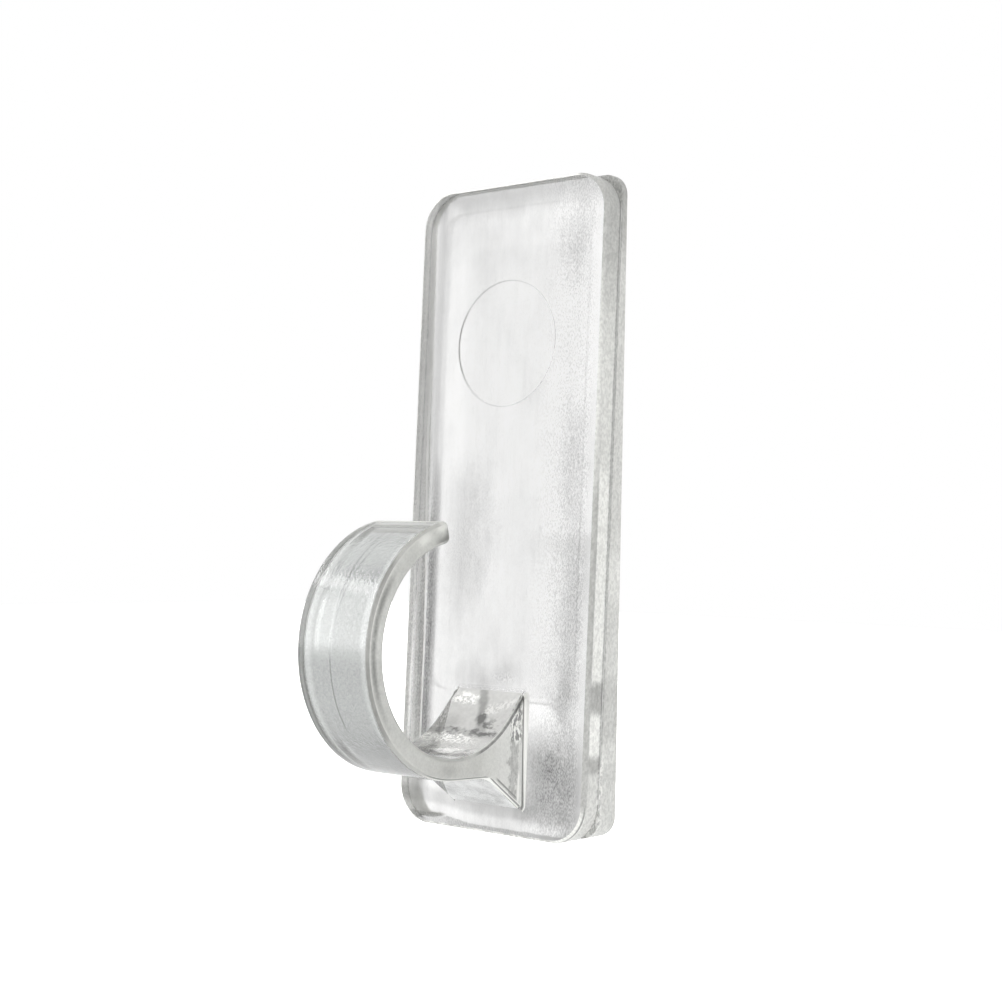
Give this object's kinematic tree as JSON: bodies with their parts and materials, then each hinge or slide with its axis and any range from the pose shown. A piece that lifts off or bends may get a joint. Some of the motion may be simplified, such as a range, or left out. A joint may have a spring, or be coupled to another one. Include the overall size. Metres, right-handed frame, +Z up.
{
  "type": "adhesive hook",
  "caption": "Clear plastic C-shaped hook on a flat front plate that slides down onto a wedge base, held to a wall by a stretch-release adhesive strip.",
  "frame": {"origin": "on the wall plane, on the centre line, at mid-height of the front plate", "axes": "+Y into the wall, the hook faces -Y; +Z up, along the length of the plate; X across the width"},
  "size_m": [0.025, 0.0296, 0.0676],
  "materials": {
    "clear_plastic": "clear moulded plastic, glossy outside, faintly mottled",
    "clear_plastic_base": "clear moulded plastic, faintly mottled",
    "strip_film": "clear stretch film, satin",
    "base_gum": "clear tacky adhesive",
    "wall_gum": "clear tacky adhesive",
    "liner": "milky release film"
  },
  "bodies": {
    "base": {"base_plate": "clear_plastic_base", "base_adhesive": "base_gum", "strip_core": "strip_film", "wall_adhesive": "wall_gum", "release_liner": "liner"},
    "hook": {"hook_body": "clear_plastic"}
  },
  "joints": [
    {"name": "hook_slide", "type": "slide", "parent": "base", "child": "hook", "axis": [0, 0.0307, 0.9995], "range_m": [0, 0.064]}
  ]
}
